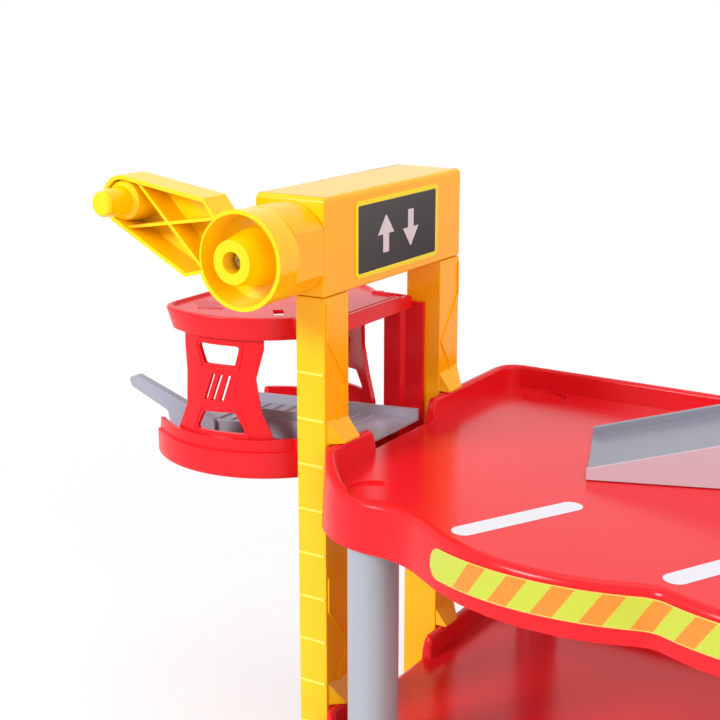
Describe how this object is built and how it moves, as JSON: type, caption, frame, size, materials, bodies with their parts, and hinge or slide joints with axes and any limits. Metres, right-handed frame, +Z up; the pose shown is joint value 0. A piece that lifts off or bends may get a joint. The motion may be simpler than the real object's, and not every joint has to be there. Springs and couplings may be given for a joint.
{
  "type": "toy parking garage",
  "caption": "Toy parking garage with decks on columns, a yellow gantry with a hand crank, a round lift cage that it raises and lowers, a tilting car tray and ramps.",
  "frame": {"origin": "middle of the object's underside, on the ground", "axes": "+X from the lift towards the parking bays and the entry ramp, +Y from the scalloped front to the back, +Z up"},
  "size_m": [0.558, 0.2288, 0.2786],
  "materials": {
    "red_gloss_plastic": "glossy injection-moulded red plastic",
    "yellow_gloss_plastic": "glossy injection-moulded yellow plastic",
    "grey_plastic": "satin blue-grey plastic",
    "column_plastic": "smooth grey plastic",
    "steel": "plain zinc-plated steel"
  },
  "bodies": {
    "garage": {"base_tray": "red_gloss_plastic", "upper_deck": "red_gloss_plastic", "raised_pad": "red_gloss_plastic", "column_front_left": "column_plastic", "column_rear_left": "column_plastic", "column_front_right": "column_plastic", "column_rear_right": "column_plastic", "pad_column_rear": "column_plastic", "pad_column_front": "column_plastic", "front_post": "yellow_gloss_plastic", "rear_post": "yellow_gloss_plastic", "gantry_beam": "yellow_gloss_plastic", "beam_cover": "yellow_gloss_plastic", "crank_bearing": "yellow_gloss_plastic", "upper_ramp": "grey_plastic", "entry_ramp": "grey_plastic"},
    "crank": {"crank_handle": "yellow_gloss_plastic", "crank_screw": "steel", "crank_shaft": "column_plastic", "winding_spool": "column_plastic"},
    "lift_cage": {"cage_base": "red_gloss_plastic", "cage_roof": "red_gloss_plastic", "cage_panel_front": "red_gloss_plastic", "cage_panel_rear": "red_gloss_plastic", "cage_guide_front": "red_gloss_plastic", "cage_guide_rear": "red_gloss_plastic", "tray_pivot_pin": "steel"},
    "tray": {"lift_tray": "grey_plastic"}
  },
  "joints": [
    {"name": "crank_turn", "type": "hinge", "parent": "garage", "child": "crank", "pos_m": [-0.156, -0.08179, 0.2477], "axis": [0, 1, 0], "range_deg": [0, 727.6]},
    {"name": "lift_slide", "type": "slide", "parent": "garage", "child": "lift_cage", "axis": [0, 0, 1], "range_m": [-0.127, 0]},
    {"name": "tray_tilt", "type": "hinge", "parent": "lift_cage", "child": "tray", "pos_m": [-0.152, 0.00021, 0.145], "axis": [0, 1, 0], "range_deg": [0, 16]}
  ],
  "couplings": [
    {"joint": "lift_slide", "follows": "crank_turn", "m_per_rad": -0.01}
  ]
}
